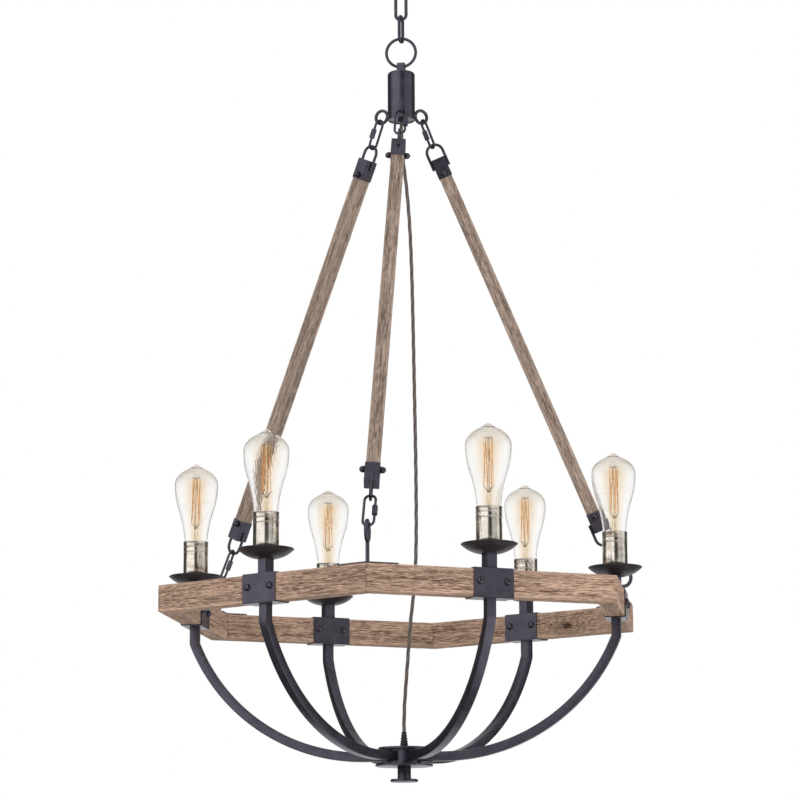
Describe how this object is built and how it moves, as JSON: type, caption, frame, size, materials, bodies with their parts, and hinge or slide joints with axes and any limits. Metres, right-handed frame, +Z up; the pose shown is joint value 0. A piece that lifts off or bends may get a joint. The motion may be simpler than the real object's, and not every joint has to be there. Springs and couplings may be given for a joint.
{
  "type": "chandelier",
  "caption": "Hanging chandelier with a hexagonal wood ring on three wood hangers below a metal canister, curved metal arms rising from a centre hub and open bulbs in saucers.",
  "frame": {"origin": "the bearing point inside the top of the upper chain link, from which the fixture hangs", "axes": "+Z up through the canister, the hub and the ring's centre; one hanger corner of the ring points along -Y, and +X is to the right of it"},
  "size_m": [0.711, 0.7623, 1.2145],
  "materials": {
    "black_metal": "satin",
    "hanger_wood": "matt, weathered",
    "ring_wood": "matt, weathered",
    "dark_bronze": "satin",
    "antique_brass": "brushed",
    "insulator": "gloss",
    "shell_brass": "plain",
    "bulb_glass": "clear, faint amber",
    "bulb_base": "plain",
    "grip_plastic": "matt",
    "cord_fabric": "woven"
  },
  "bodies": {
    "top_link": {"upper_link": "black_metal"},
    "lower_link": {"lower_link": "black_metal"},
    "loop_ring": {"loop_ring": "black_metal"},
    "canister": {"canister": "black_metal", "canister_base": "black_metal", "canister_eyes": "black_metal"},
    "hanger_1": {"hanger_bar_1": "hanger_wood", "hanger_fittings_1": "black_metal", "hanger_bolts_1": "black_metal", "hanger_links_1": "black_metal"},
    "hanger_2": {"hanger_bar_2": "hanger_wood", "hanger_fittings_2": "black_metal", "hanger_bolts_2": "black_metal", "hanger_links_2": "black_metal"},
    "hanger_3": {"hanger_bar_3": "hanger_wood", "hanger_fittings_3": "black_metal", "hanger_bolts_3": "black_metal", "hanger_links_3": "black_metal"},
    "nut_1_top": {"link_nut_1_top": "black_metal"},
    "nut_1_bottom": {"link_nut_1_bottom": "black_metal"},
    "nut_2_top": {"link_nut_2_top": "black_metal"},
    "nut_2_bottom": {"link_nut_2_bottom": "black_metal"},
    "nut_3_top": {"link_nut_3_top": "black_metal"},
    "nut_3_bottom": {"link_nut_3_bottom": "black_metal"},
    "ring_frame": {"ring_beam_1": "ring_wood", "ring_beam_2": "ring_wood", "ring_beam_3": "ring_wood", "ring_beam_4": "ring_wood", "ring_beam_5": "ring_wood", "ring_beam_6": "ring_wood", "beam_brackets": "black_metal", "bracket_screws": "black_metal", "corner_plates": "black_metal", "eye_bolts": "black_metal", "arm_1": "black_metal", "arm_2": "black_metal", "arm_3": "black_metal", "arm_4": "black_metal", "arm_5": "black_metal", "arm_6": "black_metal", "saucers": "dark_bronze", "socket_sleeves": "antique_brass", "socket_insulators": "insulator", "screw_shells": "shell_brass", "hub_spool": "black_metal", "finial": "black_metal", "cord_grip": "grip_plastic", "cord": "cord_fabric"},
    "bulb_1": {"bulb_glass_1": "bulb_glass", "bulb_base_1": "bulb_base"},
    "bulb_2": {"bulb_glass_2": "bulb_glass", "bulb_base_2": "bulb_base"},
    "bulb_3": {"bulb_glass_3": "bulb_glass", "bulb_base_3": "bulb_base"},
    "bulb_4": {"bulb_glass_4": "bulb_glass", "bulb_base_4": "bulb_base"},
    "bulb_5": {"bulb_glass_5": "bulb_glass", "bulb_base_5": "bulb_base"},
    "bulb_6": {"bulb_glass_6": "bulb_glass", "bulb_base_6": "bulb_base"}
  },
  "joints": [
    {"name": "lower_link_swing", "type": "hinge", "parent": "top_link", "child": "lower_link", "pos_m": [0, 0, -0.0385], "axis": [1, 0, 0], "range_deg": [-15, 15]},
    {"name": "loop_ring_swing", "type": "hinge", "parent": "lower_link", "child": "loop_ring", "pos_m": [0, 0, -0.0742], "axis": [0.2079, 0.9781, 0], "range_deg": [-15, 15]},
    {"name": "canister_swing", "type": "hinge", "parent": "loop_ring", "child": "canister", "pos_m": [0, 0, -0.1145], "axis": [1, 0, 0], "range_deg": [-15, 15]},
    {"name": "ring_twist", "type": "hinge", "parent": "canister", "child": "ring_frame", "pos_m": [0, 0, -0.935], "axis": [0, 0, 1], "range_deg": [-3, 3], "stiffness_Nm_per_rad": 0.9},
    {"name": "hanger_1_swing", "type": "hinge", "parent": "canister", "child": "hanger_1", "pos_m": [0.00464, -0.03906, -0.19878], "axis": [0, -0.9048, 0.4259], "range_deg": [-1.6, 1.6]},
    {"name": "nut_1_top_slide", "type": "slide", "parent": "hanger_1", "child": "nut_1_top", "axis": [0.0055, 0.3874, 0.9219], "range_m": [0, 0.007]},
    {"name": "nut_1_bottom_slide", "type": "slide", "parent": "hanger_1", "child": "nut_1_bottom", "axis": [0.0065, 0.4588, 0.8885], "range_m": [0, 0.007]},
    {"name": "hanger_2_swing", "type": "hinge", "parent": "canister", "child": "hanger_2", "pos_m": [0.03151, 0.02354, -0.19878], "axis": [0.7835, 0.4524, 0.4259], "range_deg": [-1.6, 1.6]},
    {"name": "nut_2_top_slide", "type": "slide", "parent": "hanger_2", "child": "nut_2_top", "axis": [-0.3383, -0.1889, 0.9219], "range_m": [0, 0.007]},
    {"name": "nut_2_bottom_slide", "type": "slide", "parent": "hanger_2", "child": "nut_2_bottom", "axis": [-0.4006, -0.2238, 0.8885], "range_m": [0, 0.007]},
    {"name": "hanger_3_swing", "type": "hinge", "parent": "canister", "child": "hanger_3", "pos_m": [-0.03614, 0.01551, -0.19878], "axis": [-0.7835, 0.4524, 0.4259], "range_deg": [-1.6, 1.6]},
    {"name": "nut_3_top_slide", "type": "slide", "parent": "hanger_3", "child": "nut_3_top", "axis": [0.3328, -0.1985, 0.9219], "range_m": [0, 0.007]},
    {"name": "nut_3_bottom_slide", "type": "slide", "parent": "hanger_3", "child": "nut_3_bottom", "axis": [0.3941, -0.2351, 0.8885], "range_m": [0, 0.007]},
    {"name": "bulb_1_lift", "type": "slide", "parent": "ring_frame", "child": "bulb_1", "axis": [0, 0, 1], "range_m": [0, 0.03]},
    {"name": "bulb_2_lift", "type": "slide", "parent": "ring_frame", "child": "bulb_2", "axis": [0, 0, 1], "range_m": [0, 0.03]},
    {"name": "bulb_3_lift", "type": "slide", "parent": "ring_frame", "child": "bulb_3", "axis": [0, 0, 1], "range_m": [0, 0.03]},
    {"name": "bulb_4_lift", "type": "slide", "parent": "ring_frame", "child": "bulb_4", "axis": [0, 0, 1], "range_m": [0, 0.03]},
    {"name": "bulb_5_lift", "type": "slide", "parent": "ring_frame", "child": "bulb_5", "axis": [0, 0, 1], "range_m": [0, 0.03]},
    {"name": "bulb_6_lift", "type": "slide", "parent": "ring_frame", "child": "bulb_6", "axis": [0, 0, 1], "range_m": [0, 0.03]}
  ],
  "couplings": [
    {"joint": "hanger_1_swing", "follows": "ring_twist", "ratio": 0.47803},
    {"joint": "hanger_2_swing", "follows": "ring_twist", "ratio": 0.47803},
    {"joint": "hanger_3_swing", "follows": "ring_twist", "ratio": 0.47803}
  ]
}
